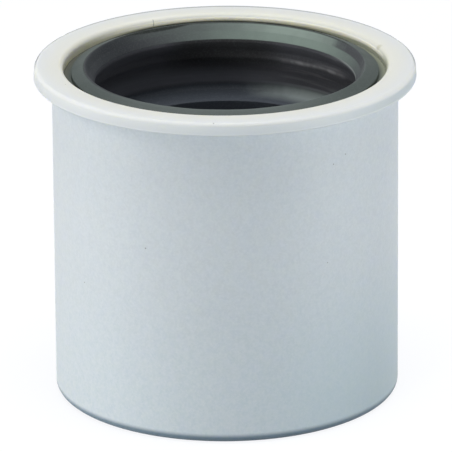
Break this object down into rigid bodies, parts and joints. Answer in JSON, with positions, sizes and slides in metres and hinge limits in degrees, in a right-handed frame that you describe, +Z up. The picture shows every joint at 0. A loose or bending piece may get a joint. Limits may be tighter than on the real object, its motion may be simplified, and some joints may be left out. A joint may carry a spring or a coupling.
{
  "type": "pipe adapter",
  "caption": "Push-in pipe adapter: a flanged plastic spigot sleeve with a rubber lip seal in its mouth that grips a smaller pipe.",
  "frame": {"origin": "centre of the spigot's lower end, on the surface that the adapter stands on", "axes": "+Z up along the axis of the spigot and the seal, towards the flange"},
  "size_m": [0.0552, 0.0552, 0.0492],
  "materials": {
    "sleeve_plastic": "light cool grey moulded plastic with a fine matte grain",
    "seal_rubber": "black moulded rubber with a dull sheen and fine rings"
  },
  "bodies": {
    "root": {"adapter_sleeve": "sleeve_plastic", "lip_seal": "seal_rubber"}
  },
  "joints": []
}
